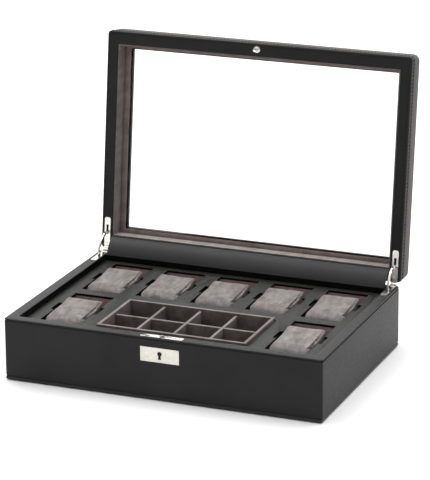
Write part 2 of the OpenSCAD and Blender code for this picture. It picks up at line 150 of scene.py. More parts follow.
def noise_value(nodes, links, where, scale, detail=3.0, roughness=0.55):
    node = nodes.new("ShaderNodeTexNoise")
    node.inputs["Scale"].default_value = scale
    node.inputs["Detail"].default_value = detail
    node.inputs["Roughness"].default_value = roughness
    links.new(where, node.inputs["Vector"])
    return node.outputs["Fac"]


def ramp(nodes, links, value, low, high, start=0.3, end=0.7):
    node = nodes.new("ShaderNodeValToRGB")
    node.color_ramp.elements[0].position = start
    node.color_ramp.elements[1].position = end
    node.color_ramp.elements[0].color = (*low, 1)
    node.color_ramp.elements[1].color = (*high, 1)
    links.new(value, node.inputs["Fac"])
    return node.outputs["Color"]


def spread(nodes, links, value, low, high, start=0.3, end=0.7):
    node = nodes.new("ShaderNodeMapRange")
    for socket, number in zip(("From Min", "From Max", "To Min", "To Max"),
                              (start, end, low, high)):
        node.inputs[socket].default_value = number
    links.new(value, node.inputs["Value"])
    return node.outputs["Result"]


def bump(nodes, links, height, strength, distance, under=None):
    node = nodes.new("ShaderNodeBump")
    node.inputs["Strength"].default_value = strength
    node.inputs["Distance"].default_value = distance
    links.new(height, node.inputs["Height"])
    if under is not None:
        links.new(under, node.inputs["Normal"])
    return node.outputs["Normal"]

# %% Make the leather
def leather(name, dark, light, gloss, grain=1500.0, specular=0.36):
    material, nodes, links, shader = start_material(name, Specular_IOR_Level=specular)
    where = coordinates(nodes)
    slow = noise_value(nodes, links, where, 28.0)
    pebble = nodes.new("ShaderNodeTexVoronoi")
    pebble.feature = "SMOOTH_F1"
    pebble.inputs["Scale"].default_value = grain
    pebble.inputs["Smoothness"].default_value = 0.4
    links.new(where, pebble.inputs["Vector"])
    crease = noise_value(nodes, links, where, grain * 0.35, detail=4.0)
    links.new(ramp(nodes, links, slow, dark, light), shader.inputs["Base Color"])
    links.new(spread(nodes, links, crease, gloss - 0.06, gloss + 0.08), shader.inputs["Roughness"])
    normal = bump(nodes, links, pebble.outputs["Distance"], 0.22, 0.00012)
    normal = bump(nodes, links, crease, 0.16, 0.00025, under=normal)
    links.new(normal, shader.inputs["Normal"])
    return material


black_leather = leather("black leather", (0.0075, 0.0075, 0.0078), (0.012, 0.0118, 0.0116), 0.46,
                        specular=0.22)
deck_leather = leather("deck leather", (0.0120, 0.0124, 0.0108), (0.0185, 0.0188, 0.0166), 0.5,
                       specular=0.31)
rim_leather = leather("lid leather", (0.0075, 0.0073, 0.0073), (0.011, 0.0105, 0.0103), 0.5,
                      specular=0.22)
plate_leather = leather("plate leather", (0.012, 0.0098, 0.0096), (0.019, 0.0155, 0.0150), 0.5,
                        specular=0.34)
side_leather = leather("lid side leather", (0.026, 0.0185, 0.0160), (0.041, 0.0310, 0.0275), 0.52,
                       specular=0.34)
flap_leather = leather("flap leather", (0.011, 0.0112, 0.0118), (0.016, 0.0162, 0.017), 0.42,
                       specular=0.42)
# Dead black with almost no shine: painted shade for the recess, the fold and the deck's cut edges.
painted_shade_leather = leather("dark lining", (0.0025, 0.0024, 0.0024), (0.004, 0.0038, 0.0036), 0.85,
                      specular=0.04)
# A lighter, shinier copy of the case leather: painted highlight for the case's up-facing faces.
rim_highlight_leather = leather("case rim painted highlight leather", (0.0085, 0.0085, 0.0085), (0.013, 0.0128, 0.0124), 0.46,
                      specular=0.29)
print("leathers:", [m.name for m in bpy.data.materials if "leather" in m.name])

# %% [markdown]
# ## Suede
# Cushions, tray and linings are covered in taupe suede. Its nap lies in patches that catch the
# light differently, so the colour drifts in soft blots and streaks, and its raised fibres glow at
# grazing angles. Sheen on the shader gives the glow, and three noises give blots, streaks and nap.

# %% Make the suedes
def suede(name, dark, light, sheen, attribute=None, blot=90.0, streak=(1.0, 0.35, 1.0)):
    material, nodes, links, shader = start_material(
        name, Roughness=0.95, Specular_IOR_Level=0.15, Sheen_Weight=sheen, Sheen_Roughness=0.45)
    shader.inputs["Sheen Tint"].default_value = (*light, 1)
    where = coordinates(nodes, attribute)
    stretch = nodes.new("ShaderNodeMapping")
    stretch.inputs["Scale"].default_value = streak
    links.new(where, stretch.inputs["Vector"])
    patches = noise_value(nodes, links, stretch.outputs["Vector"], blot, detail=5.0, roughness=0.6)
    nap = noise_value(nodes, links, where, 2400.0, detail=2.0)
    both = nodes.new("ShaderNodeMath")
    both.operation = "MULTIPLY_ADD"
    both.inputs[1].default_value = 0.25
    links.new(nap, both.inputs[0])
    links.new(patches, both.inputs[2])
    links.new(ramp(nodes, links, both.outputs["Value"], dark, light, 0.42, 0.82),
              shader.inputs["Base Color"])
    links.new(bump(nodes, links, nap, 0.35, 0.0002), shader.inputs["Normal"])
    return material


tray_suede = suede("tray suede", (0.058, 0.045, 0.042), (0.120, 0.098, 0.093), 0.16)
edge_highlight_suede = suede("tray edge painted highlight suede", (0.17, 0.152, 0.142), (0.27, 0.248, 0.234), 0.2)
lid_suede = suede("lid suede", (0.150, 0.118, 0.112), (0.245, 0.205, 0.194), 0.3)
strip_suede = suede("lid strip suede", (0.105, 0.088, 0.084), (0.180, 0.158, 0.150), 0.3)
ledge_highlight_suede = suede("lid ledge painted highlight suede", (0.27, 0.245, 0.232), (0.39, 0.36, 0.345), 0.3)
well_suede = suede("well suede", (0.020, 0.016, 0.015), (0.040, 0.033, 0.031), 0.1)
# A lighter, redder copy of the wells' suede: painted light for the rear boards.
lit_end_suede = suede("well end painted light suede", (0.16, 0.105, 0.098), (0.26, 0.19, 0.18), 0.25)
cushion_suede = suede("cushion suede", (0.150, 0.134, 0.127), (0.300, 0.279, 0.265), 0.3,
                      attribute="cushion_place", blot=150.0, streak=(1.0, 0.5, 1.0))
# Darker suede for the cushions' side panels: partly the nap's direction, partly painted shade from
# the well.
shaded_side_suede = suede("cushion side painted shade suede", (0.075, 0.062, 0.058), (0.130, 0.112, 0.106), 0.15,
                   attribute="cushion_place")
print("suedes:", [m.name for m in bpy.data.materials if "suede" in m.name])

# %% [markdown]
# ## Nickel, steel, glass, felt and board
# The hinges, plates and stud are nickel: a mirror with a faint warm cast and tiny polishing marks.
# The lock inside is plain pressed steel, darkened as painted shade so that the keyhole looks dark
# inside. The glass is clear, with barely visible dust. Felt and board are seen from below and in
# poses, so they get fibres and grain of their own.

# %% Make the hard and hidden materials
def metal(name, dark, light, gloss, marks):
    material, nodes, links, shader = start_material(name, Metallic=1.0)
    where = coordinates(nodes)
    cloud = noise_value(nodes, links, where, 60.0)
    fine = noise_value(nodes, links, where, marks, detail=5.0)
    links.new(ramp(nodes, links, cloud, dark, light), shader.inputs["Base Color"])
    links.new(spread(nodes, links, fine, gloss, gloss + 0.12), shader.inputs["Roughness"])
    links.new(bump(nodes, links, fine, 0.05, 0.00005), shader.inputs["Normal"])
    return material


def fibres(name, dark, light, scale, stretch):
    material, nodes, links, shader = start_material(name, Roughness=0.9, Specular_IOR_Level=0.2)
    mapping = nodes.new("ShaderNodeMapping")
    mapping.inputs["Scale"].default_value = stretch
    links.new(coordinates(nodes), mapping.inputs["Vector"])
    strands = noise_value(nodes, links, mapping.outputs["Vector"], scale, detail=6.0)
    links.new(ramp(nodes, links, strands, dark, light), shader.inputs["Base Color"])
    links.new(bump(nodes, links, strands, 0.4, 0.0003), shader.inputs["Normal"])
    return material


nickel = metal("nickel", (0.70, 0.68, 0.64), (0.80, 0.785, 0.75), 0.12, 900.0)
plate_nickel = metal("brushed plate nickel", (0.56, 0.542, 0.492), (0.64, 0.622, 0.572), 0.2, 900.0)
# Darker than bare steel: painted shade for the inside of the keyhole.
shaded_lock_steel = metal("lock steel painted shade", (0.20, 0.19, 0.185), (0.30, 0.29, 0.28), 0.36, 500.0)
felt = fibres("felt", (0.010, 0.010, 0.010), (0.028, 0.028, 0.028), 1100.0, (1, 1, 1))
board = fibres("board", (0.33, 0.23, 0.14), (0.50, 0.37, 0.24), 400.0, (0.2, 1, 1))
thread = fibres("waxed thread", (0.002, 0.002, 0.002), (0.006, 0.0055, 0.005), 4000.0, (1, 1, 1))

glass, nodes, links, shader = start_material("lid glass", Transmission_Weight=1.0, IOR=1.45,
                                             Roughness=0.0)
dust = noise_value(nodes, links, coordinates(nodes), 700.0, detail=6.0)
links.new(ramp(nodes, links, dust, (0.980, 0.988, 0.984), (0.990, 0.996, 0.993)),
          shader.inputs["Base Color"])
print("materials:", len(bpy.data.materials))

# %% [markdown]
# ## Rings of leather
# The case and the lid are each one piece of leather drawn tight over four boards, so they have no
# joints at the corners. A ring is made by carrying one cross-section once round a rectangle with
# rounded corners. The section is drawn with soft corners, because folded leather is never sharp.

# %% Helpers: soft outline, rounded loop and ring
def soft_outline(corners, steps=4):
    points = []
    for i, (x, y, radius) in enumerate(corners):
        here = Vector((x, y))
        if radius <= 0:
            points.append(here)
            continue
        before = (Vector(corners[i - 1][:2]) - here).normalized()
        after = (Vector(corners[(i + 1) % len(corners)][:2]) - here).normalized()
        half = before.angle(after) / 2
        centre = here + (before + after).normalized() * radius / math.sin(half)
        first = (here + before * radius / math.tan(half) - centre).normalized()
        last = (here + after * radius / math.tan(half) - centre).normalized()
        for k in range(steps + 1):
            points.append(centre + radius * first.slerp(last, k / steps))
    return points


def rounded_loop(half_x, half_y, radius, z, steps=8):
    points = []
    for corner, (sx, sy) in enumerate([(1, 1), (-1, 1), (-1, -1), (1, -1)]):
        for i in range(steps + 1):
            turn = math.radians(90 * (corner + i / steps))
            points.append(Vector((sx * (half_x - radius) + radius * math.cos(turn),
                                  sy * (half_y - radius) + radius * math.sin(turn), z)))
    return points


def ring(section, half_x, half_y, radius, across=lambda inset: inset, grow=lambda z: 0.0):
    shape = bmesh.new()
    loops = []
    for inset, z in section:
        loop = rounded_loop(half_x - inset, half_y - across(inset),
                            max(radius + grow(z) - inset, 0.3 * MM), z)
        loops.append([shape.verts.new(p) for p in loop])
    for one, two in zip(loops, loops[1:] + loops[:1]):
        for i in range(len(one)):
            j = (i + 1) % len(one)
            shape.faces.new((one[i], one[j], two[j], two[i]))
    bmesh.ops.recalc_face_normals(shape, faces=shape.faces)
    return shape

# %% [markdown]
# ## Cutting pockets
# Plates, hinge leaves and the lock are let into the leather. Each pocket is a simple block that a
# Boolean modifier takes away. The blocks are joined into one cutter first, so each shell is cut
# once, and the modifier's result is kept as a plain mesh.

# %% Helpers: block, plate and cut
def block(shape, low, high):
    made = bmesh.ops.create_cube(shape, size=1.0)["verts"]
    low, high = Vector(low), Vector(high)
    for v in made:
        v.co = Vector((low[i] + (v.co[i] + 0.5) * (high[i] - low[i]) for i in range(3)))
    return made


def prism(shape, loop, bottom, top):
    below = [shape.verts.new((p.x, p.y, bottom)) for p in loop]
    above = [shape.verts.new((p.x, p.y, top)) for p in loop]
    shape.faces.new(above)
    shape.faces.new(list(reversed(below)))
    for i in range(len(loop)):
        j = (i + 1) % len(loop)
        shape.faces.new((below[i], below[j], above[j], above[i]))


def cut(mesh, cutter):
    objects = [bpy.data.objects.new("shell", mesh),
               bpy.data.objects.new("cutter", mesh_of(cutter, "cutter"))]
    for o in objects:
        scene.collection.objects.link(o)
    boolean = objects[0].modifiers.new("pockets", "BOOLEAN")
    boolean.object = objects[1]
    boolean.solver = "EXACT"
    bpy.context.view_layer.update()
    seen = objects[0].evaluated_get(bpy.context.evaluated_depsgraph_get())
    result = bpy.data.meshes.new_from_object(seen)
    for o in objects:
        bpy.data.objects.remove(o)
    return result

# %% [markdown]
# ## The case's leather shell
# The shell runs from the seam above the base plate, up the outside, over the rim and down inside.
# A fold just under the rim shows where the rim's leather ends. Pockets take the strike plate, the
# keyhole plate, the lock and the two base hinge leaves, with a slot for each curved stay. Their
# sizes come from the metal parts themselves. One shell with several leathers is simpler than four
# walls, because the real leather runs round the corners without a joint.

# %% Build the case shell
slack = 0.06 * MM           # room round an inlaid metal part
leaf_depth = 1.62 * MM      # thickness of a hinge leaf, with its slack
leaf_end = 2.2 * MM         # radius of a leaf's rounded end
groove = 0.8 * MM           # depth of the seam and of the fold
case_corner = 2.4 * MM


def leaf_pocket(shape, leaf, low, high):
    a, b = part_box(leaf)
    back = half_d + 2 * MM
    middle = Vector(((a.x + b.x) / 2, (a.y + back) / 2, 0))
    loop = rounded_loop((b.x - a.x) / 2 + slack, (back - a.y) / 2 + slack, leaf_end, 0, 4)
    prism(shape, [p + middle for p in loop], low, high)


seam, fold = plate_high.z, case_rim - 1.6 * MM
section = soft_outline([(groove, seam, 0), (groove, seam + 0.8 * MM, 0),
                        (0, seam + 0.9 * MM, 0.3 * MM),
                        (0, fold - 0.95 * MM, 0.2 * MM), (groove, fold - 0.85 * MM, 0),
                        (groove, fold + 0.25 * MM, 0), (0.1 * MM, fold + 0.35 * MM, 0.2 * MM),
                        (0.1 * MM, case_rim, 0.8 * MM),
                        (wall, case_rim, 0.9 * MM), (wall, seam, 0)])
shell = ring(section, half_w, half_d, case_corner)
print("case section:", len(section), "points")

# %% Cut the case's pockets and lay on its leathers
pockets = bmesh.new()
for node, grow in (("strike_plate", Vector((slack, slack, 0))), ("lock_case", Vector((slack,) * 3))):
    a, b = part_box(node)
    above = 2 * MM if node == "strike_plate" else 0.3 * MM
    block(pockets, a - grow, b + grow + Vector((0, 0, above)))
a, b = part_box("keyhole_plate")
gap, key_half, key_depth = 0.35 * MM, 3.4 * MM, 8 * MM
block(pockets, (a.x - gap, -half_d - MM, a.z - gap), (b.x + gap, b.y, b.z + gap))
block(pockets, (-key_half, -half_d - MM, a.z + 0.8 * MM),
      (key_half, -half_d + key_depth, b.z - 1.4 * MM))
stay_gap = 0.3 * MM
for side in ("left", "right"):
    leaf_pocket(pockets, side + "_base_leaf", case_rim - leaf_depth, case_rim + MM)
    a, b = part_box(side + "_stay")
    reach = pivot.y - a.y
    block(pockets, (a.x - stay_gap, a.y - 1.2 * MM, case_rim - reach),
          (b.x + stay_gap, pivot.y - 0.4 * reach, case_rim - MM))
case_mesh = cut(mesh_of(shell, "case"), pockets)
case = place(case_mesh, "case_leather", black_leather, "base",
             ("front_wall", "back_wall", "left_wall", "right_wall"))
lock_half = 30 * MM


def is_fold(face):
    return (abs(face.center.z - fold) < 0.95 * MM
            and half_w - MM < abs(face.center.x) < half_w - 0.3 * MM)


def is_inside(face):
    x, y, z = abs(face.center.x), face.center.y, face.center.z
    in_case = x < half_w - wall + 0.3 * MM and abs(y) < half_d - wall + 0.3 * MM
    in_lock = x < lock_half and y > -half_d + MM
    return z < case_rim - 0.5 * MM and (in_case or in_lock)


# The case's up-facing faces take the lighter copy as painted highlight.
second_material(case, rim_highlight_leather, lambda face: face.normal.z > 0.7)
# The fold's groove and the faces inside the case and the lock pocket are painted dead black as shade.
second_material(case, painted_shade_leather, is_fold)
second_material(case, painted_shade_leather, is_inside)
print("case shell:", len(case_mesh.polygons), "faces")

# %% [markdown]
# ## Softened copies
# Boards, plates and liners are right in shape but have razor-sharp edges, and a real edge catches
# a line of light. A copy of each node is merged, its flat faces are joined, and every sharp edge
# gets a small bevel. The copy then stands for the node.

# %% Helper: soften a node
def softened(node, width, segments=2, angle=35):
    shape = bmesh.new()
    shape.from_mesh(frame["nodes"][node].data)
    bmesh.ops.remove_doubles(shape, verts=shape.verts, dist=1e-6)
    bmesh.ops.dissolve_limit(shape, angle_limit=math.radians(0.5), verts=shape.verts,
                             edges=shape.edges)
    sharp = [e for e in shape.edges
             if len(e.link_faces) == 2 and e.calc_face_angle(0) > math.radians(angle)]
    bmesh.ops.bevel(shape, geom=sharp, offset=width, segments=segments, profile=0.5,
                    affect="EDGES", clamp_overlap=True)
    return mesh_of(shape, node)


def soften_all(names, width, material, body, segments=2):
    print("softened:", ", ".join(names))
    return [place(softened(node, width, segments), node + "_soft", material, body, (node,))
            for node in names]


# %% [markdown]
# ## Base plate, deck and the boards behind the wells
# The base plate is padded under its leather, so its edges are rounder than the rest. The deck's
# leather is pulled thin over the edges of its openings; their cut edges and its underside are painted
# dead black as shade.
# Behind each cushion the end board's suede comes up close under the deck, so the deck's copy is
# made thinner and these boards' copies taller by the same amount. These boards take a lighter,
# redder copy of the wells' suede: painted light for the light that reaches them.

# %% Soften the base plate, the deck and the boards
soften_all(["base_plate"], 1.5 * MM, plate_leather, "base", 3)
thinner = 1.4 * MM
deck_edge, board_reach = 2.6 * MM, 5 * MM
deck, = soften_all(["deck_panel"], 0.3 * MM, deck_leather, "base")
for v in deck.data.vertices:
    if v.co.z < deck_top - deck_edge:
        v.co.z += thinner
# The deck's cut edges and underside are painted dead black as shade.
second_material(deck, painted_shade_leather, lambda face: face.normal.z < 0.3)
# The rear boards take the lighter suede as painted light.
for board_piece in soften_all(["back_wells_rear_board", "front_wells_rear_boards"], 0.3 * MM,
                              lit_end_suede, "base"):
    for v in board_piece.data.vertices:
        if v.co.z > deck_top - board_reach:
            v.co.z += thinner

# %% [markdown]
# ## The tray
# The tray's boards are wrapped in suede, with a paler copy along every top edge as painted highlight
# where the light from above falls. Its dividers are a little lower than its walls, so a watch strap
# or a chain can lie across them. The tray is drawn in slightly, because a real one hangs in its
# opening with a thin dark gap all round.

# %% Soften the tray
tray_nodes = [n for n in sorted(frame["nodes"]) if n.startswith("tray_") and n != "tray_bearers"]
divider_drop, highlight_band, drawn_in = 2.6 * MM, 0.7 * MM, 0.994
tray_pieces = soften_all(tray_nodes, 0.45 * MM, tray_suede, "tray")
tray_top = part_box("tray_front_wall")[1].z
tray_low, tray_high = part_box("tray_floor")
tray_middle = (tray_low + tray_high) / 2
for piece in tray_pieces:
    for v in piece.data.vertices:
        for axis in (0, 1):
            v.co[axis] = tray_middle[axis] + (v.co[axis] - tray_middle[axis]) * drawn_in
    top = tray_top
    if "divider" in piece.name:
        top -= divider_drop
        for v in piece.data.vertices:
            if v.co.z > tray_top - MM:
                v.co.z -= divider_drop
    # The top faces and a thin band below them take the paler suede: painted highlight.
    second_material(piece, edge_highlight_suede, lambda face: face.center.z > top - highlight_band)

# %% [markdown]
# ## Linings and small plates
# The lid's suede strips get a lighter copy of their suede on their up-facing faces, a painted
# highlight where the light falls on them. The lock's plates and the stud are stamped nickel with
# slightly eased edges.

# %% Soften the linings and plates
soften_all(["glass_retainer"], 0.35 * MM, lid_suede, "lid")
strips, = soften_all(["lid_side_linings"], 0.35 * MM, strip_suede, "lid")
# Up-facing faces of the strips take the lighter suede: painted highlight.
second_material(strips, ledge_highlight_suede, lambda face: face.normal.z > 0.7)
soften_all(["strike_plate"], 0.22 * MM, nickel, "base")
soften_all(["keyhole_plate"], 0.22 * MM, plate_nickel, "base")
soften_all(["lid_stud"], 0.3 * MM, nickel, "lid")

# %% [markdown]
# ## Parts kept as they are
# The hinges, screws, glass, boards and lock already have their final shape. They keep their own
# meshes and only take a material.

# %% Give the kept nodes their materials
kept = {
    nickel: ["left_base_leaf", "right_base_leaf", "left_lid_leaf", "right_lid_leaf",
             "left_hinge_pin", "right_hinge_pin", "left_stay", "right_stay",
             "base_hinge_screws", "lid_hinge_screws"],
    shaded_lock_steel: ["lock_case", "lock_cam", "lock_bolt"],
    felt: ["underside_felt"],
    board: ["bottom_board", "tray_bearers"],
    well_suede: ["well_floor", "back_wells_front_board", "front_wells_front_boards",
                 "back_cross_boards", "front_cross_boards", "well_end_boards"],
    glass: ["lid_glass"],
}
for material, names in kept.items():
    for node in names:
        frame["nodes"][node].data.materials.clear()
        frame["nodes"][node].data.materials.append(material)
print("kept nodes:", sum(len(names) for names in kept.values()))

# %% [markdown]
# ## The lid's leather shell
# The lid is wrapped like the case: up the outside, round a soft top edge, and down to a step that
# holds the glass. Its side rails are a little thinner than its front and back rails, so the ring
# widens by a rule, and its corners grow rounder towards the top. It is drawn shut, because its
# shape is easiest to think of lying flat, and then turned open with the same turn as the frame's.

# %% Build the lid shell
lid_height = 28.6 * MM
frame_edge, side_rail, front_rail = 20.8 * MM, 12.4 * MM, 13.8 * MM
step_height = 23.6 * MM


def lid_across(inset):
    if inset < side_rail:
        return inset * front_rail / side_rail
    return front_rail + (inset - side_rail) * (frame_edge - front_rail) / (frame_edge - side_rail)


wrap = 8.0 * MM             # how far the rim's leather is folded down the side
lid_seam = 0.5 * MM         # depth of the seam under it
lid_corner, widening = 3.6 * MM, 0.14
section = soft_outline([(0.05 * MM, 0, 1.6 * MM), (0.05 * MM, wrap, 0.15 * MM),
                        (lid_seam, wrap + 0.2 * MM, 0), (lid_seam, wrap + 0.7 * MM, 0),
                        (0, wrap + 0.9 * MM, 0.15 * MM), (0, lid_height, 4.2 * MM),
                        (frame_edge, lid_height, 1.2 * MM), (frame_edge, step_height, 0.5 * MM),
                        (side_rail, step_height, 0), (side_rail, 0, 1.0 * MM)], 6)
lid_shell = ring([(inset, z + lid_rim) for inset, z in section], half_w, half_d, lid_corner,
                 lid_across, lambda z: widening * (z - lid_rim))
print("lid section:", len(section), "points")

# %% Cut the lid's pockets, open it and lay on its leathers
pockets = bmesh.new()
for side in ("left", "right"):
    leaf_pocket(pockets, side + "_base_leaf", lid_rim - MM, lid_rim + leaf_depth)
    a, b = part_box(side + "_stay")
    reach = pivot.y - a.y
    block(pockets, (a.x - stay_gap, a.y - 6.2 * MM, lid_rim + MM),
          (b.x + stay_gap, pivot.y - 0.4 * reach, lid_rim + reach))
stud_y = (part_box("strike_plate")[0].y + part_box("strike_plate")[1].y) / 2
seat_radius, seat_depth = 3.75 * MM, 0.72 * MM
seat = [Vector((seat_radius * math.cos(t), stud_y + seat_radius * math.sin(t), 0))
        for t in [2 * math.pi * i / 48 for i in range(48)]]
prism(pockets, seat, lid_rim - MM, lid_rim + seat_depth)
lid_mesh = cut(mesh_of(lid_shell, "lid"), pockets)
lid_mesh.transform(opened)
lid_piece = place(lid_mesh, "lid_leather", rim_leather, "lid",
                  ("lid_front_rail", "lid_back_rail", "lid_left_rail", "lid_right_rail",
                   "lid_top_frame"))
shut = opened.inverted()


def is_lid_side(face):
    where = shut @ face.center
    near_side = abs(where.x) > half_w - 3 * MM or abs(where.y) > half_d - 3 * MM
    return where.z > lid_rim + wrap and near_side


second_material(lid_piece, side_leather, is_lid_side)
print("lid shell:", len(lid_mesh.polygons), "faces")

# %% [markdown]
# ## Saddle stitches round the lid
# The rim's leather is folded down the lid's side and sewn there with waxed black thread, and a
# finer row runs along the rim. Hundreds of equal stitches along a path are work for Geometry
# Nodes: the path is cut at even steps, a small bead of thread is set on every point and turned
# along it, and the instances are made real.

# %% Build the stitch tree
def stitch_tree():
    tree = bpy.data.node_groups.new("stitches along a path", "GeometryNodeTree")
    face = tree.interface
    face.new_socket("Path", in_out="INPUT", socket_type="NodeSocketGeometry")
    for name in ("Pitch", "Stitch length", "Thread radius"):
        face.new_socket(name, in_out="INPUT", socket_type="NodeSocketFloat")
    face.new_socket("Thread", in_out="INPUT", socket_type="NodeSocketMaterial")
    face.new_socket("Stitches", in_out="OUTPUT", socket_type="NodeSocketGeometry")
    add, join = tree.nodes.new, tree.links.new
    given, done = add("NodeGroupInput"), add("NodeGroupOutput")
    points = add("GeometryNodeCurveToPoints")
    points.mode = "LENGTH"
    join(given.outputs["Path"], points.inputs["Curve"])
    join(given.outputs["Pitch"], points.inputs["Length"])
    bead = add("GeometryNodeMeshUVSphere")
    bead.inputs["Segments"].default_value = 8
    bead.inputs["Rings"].default_value = 6
    bead.inputs["Radius"].default_value = 1.0
    size = add("ShaderNodeCombineXYZ")
    half = add("ShaderNodeMath")
    half.operation = "MULTIPLY"
    half.inputs[1].default_value = 0.5
    join(given.outputs["Stitch length"], half.inputs[0])
    join(given.outputs["Thread radius"], size.inputs["X"])
    join(given.outputs["Thread radius"], size.inputs["Y"])
    join(half.outputs["Value"], size.inputs["Z"])
    on_points = add("GeometryNodeInstanceOnPoints")
    join(points.outputs["Points"], on_points.inputs["Points"])
    join(bead.outputs["Mesh"], on_points.inputs["Instance"])
    join(points.outputs["Rotation"], on_points.inputs["Rotation"])
    join(size.outputs["Vector"], on_points.inputs["Scale"])
    real, paint = add("GeometryNodeRealizeInstances"), add("GeometryNodeSetMaterial")
    join(on_points.outputs["Instances"], real.inputs["Geometry"])
    join(real.outputs["Geometry"], paint.inputs["Geometry"])
    join(given.outputs["Thread"], paint.inputs["Material"])
    join(paint.outputs["Geometry"], done.inputs["Stitches"])
    return tree


stitch_nodes = stitch_tree()
print("stitch tree:", len(stitch_nodes.nodes), "nodes")

# %% [markdown]
# The path is a closed curve with the lid's outline. The tree is a modifier on it; its named inputs
# are set by their identifiers before it is looked at. The result is taken as a plain mesh, so that
# nothing live is left, and is turned open with the lid.

# %% Sew the two rows
def sew(points, pitch, length, radius):
    curve = bpy.data.curves.new("row", "CURVE")
    curve.dimensions = "3D"
    line = curve.splines.new("POLY")
    line.points.add(len(points) - 1)
    for target, p in zip(line.points, points):
        target.co = (*p, 1)
    line.use_cyclic_u = True
    row = bpy.data.objects.new("row", curve)
    scene.collection.objects.link(row)
    modifier = row.modifiers.new("stitches", "NODES")
    modifier.node_group = stitch_nodes
    given = {"Pitch": pitch, "Stitch length": length, "Thread radius": radius, "Thread": thread}
    for item in stitch_nodes.interface.items_tree:
        if item.in_out == "INPUT" and item.name in given:
            modifier[item.identifier] = given[item.name]
    bpy.context.view_layer.update()
    mesh = bpy.data.meshes.new_from_object(row.evaluated_get(bpy.context.evaluated_depsgraph_get()))
    bpy.data.objects.remove(row)
    return mesh


pitch, stitch_length, rim_inset = 4.0 * MM, 2.9 * MM, 2.6 * MM
rows = [("lid_side_stitches", 0.5 * MM,
         rounded_loop(half_w, half_d, 4.5 * MM, lid_rim + wrap - 2.0 * MM)),
        ("lid_rim_stitches", 0.3 * MM,
         rounded_loop(half_w - rim_inset, half_d - rim_inset, 1.6 * MM, lid_rim))]
for name, thread_radius, path in rows:
    mesh = sew(path, pitch, stitch_length, thread_radius)
    mesh.transform(opened)
    place(mesh, name, thread, "lid", crisp=180)
    print(name, len(mesh.polygons), "faces")

# %% [markdown]
# ## The leather flap
# A soft strip of leather joins the back of the case to the lid and closes the gap between them. It
# is one sheet that must bend when the lid moves; here it is drawn as a curved strip with thickness
# in its open shape, and is tied to neither body.

# %% Build the flap
a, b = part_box("hinge_flap")
low_edge = Vector((a.y + 0.2 * MM, a.z))
high_edge = Vector((b.y - 1.3 * MM, b.z))
run = high_edge - low_edge
out = Vector((-run.y, run.x)).normalized()
steps, thickness, bulge = 24, 1.1 * MM, 1.7 * MM
outer = [low_edge + run * (i / steps) + out * bulge * 4 * (i / steps) * (1 - i / steps)
         for i in range(steps + 1)]
outline = outer + [p - out * thickness for p in reversed(outer)]
flap = bmesh.new()
columns = []
columns_across, waviness = 40, 0.25 * MM
for k in range(columns_across + 1):
    x = a.x + (b.x - a.x) * k / columns_across
    sag = waviness * noise.noise(Vector((x * 30, 0.5, 0.5)))
    columns.append([flap.verts.new((x, p.x - sag * 0.7, p.y + sag * 0.7)) for p in outline])
for one, two in zip(columns, columns[1:]):
    for i in range(len(outline)):
        j = (i + 1) % len(outline)
        flap.faces.new((one[i], one[j], two[j], two[i]))
flap.faces.new(columns[0])
flap.faces.new(list(reversed(columns[-1])))
bmesh.ops.recalc_face_normals(flap, faces=flap.faces)
mesh = mesh_of(flap, "flap")
mesh.materials.append(flap_leather)
mesh.polygons.foreach_set("use_smooth", [True] * len(mesh.polygons))
mesh.set_sharp_from_angle(angle=math.radians(50))
flap = bpy.data.objects.new("leather_flap", mesh)
scene.collection.objects.link(flap)
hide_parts("hinge_flap")
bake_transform(flap)
print("flap:", len(mesh.polygons), "faces")

# %% [markdown]
# ## The watch cushions
# A watch is buckled round a small pillow: a strip of suede sewn to two side panels and stuffed. Its
# crown is nearly flat, it slopes a little to the front and then rolls steeply down. A block
# with that side view is remeshed, blown up with a cloth simulation so that every face swells
# between its seams, capped so that it still fits its well, and smoothed with one subdivision.

# %% Make the cushion's starting shape
pillow_low, pillow_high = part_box("cushion_back_3")
pillow_middle = (pillow_low + pillow_high) / 2
pillow_half = (pillow_high - pillow_low) / 2


def pillow_block(shrink):
    length, low, high = pillow_half.y - shrink, pillow_low.z + shrink, pillow_high.z - shrink
    foot, back_roll, front_roll = 5 * MM, 5.5 * MM, 11 * MM
    tuck, lean, slope = 1.5 * MM, 8 * MM, 3.0 * MM
    side_view = soft_outline([(-length, low, foot), (length - tuck, low, foot),
                              (length - lean, high, back_roll),
                              (-length, high - slope, front_roll)], 8)
    shape = bmesh.new()
    sides = [[shape.verts.new((x, p.x, p.y)) for p in side_view]
             for x in (-pillow_half.x + shrink, pillow_half.x - shrink)]
    shape.faces.new(sides[0])
    shape.faces.new(list(reversed(sides[1])))
    for i in range(len(side_view)):
        j = (i + 1) % len(side_view)
        shape.faces.new((sides[0][i], sides[0][j], sides[1][j], sides[1][i]))
    bmesh.ops.recalc_face_normals(shape, faces=shape.faces)
    return mesh_of(shape, "pillow")

# %% [markdown]
# The block is remeshed into even squares, so that the cloth bends the same way everywhere. Pressure
# from inside swells it for twenty steps. Real suede hardly stretches, so no point may move further
# than a cap.

# %% Blow it up
def evaluated(source):
    bpy.context.view_layer.update()
    seen = source.evaluated_get(bpy.context.evaluated_depsgraph_get())
    return bpy.data.meshes.new_from_object(seen)


swelling_steps = 20


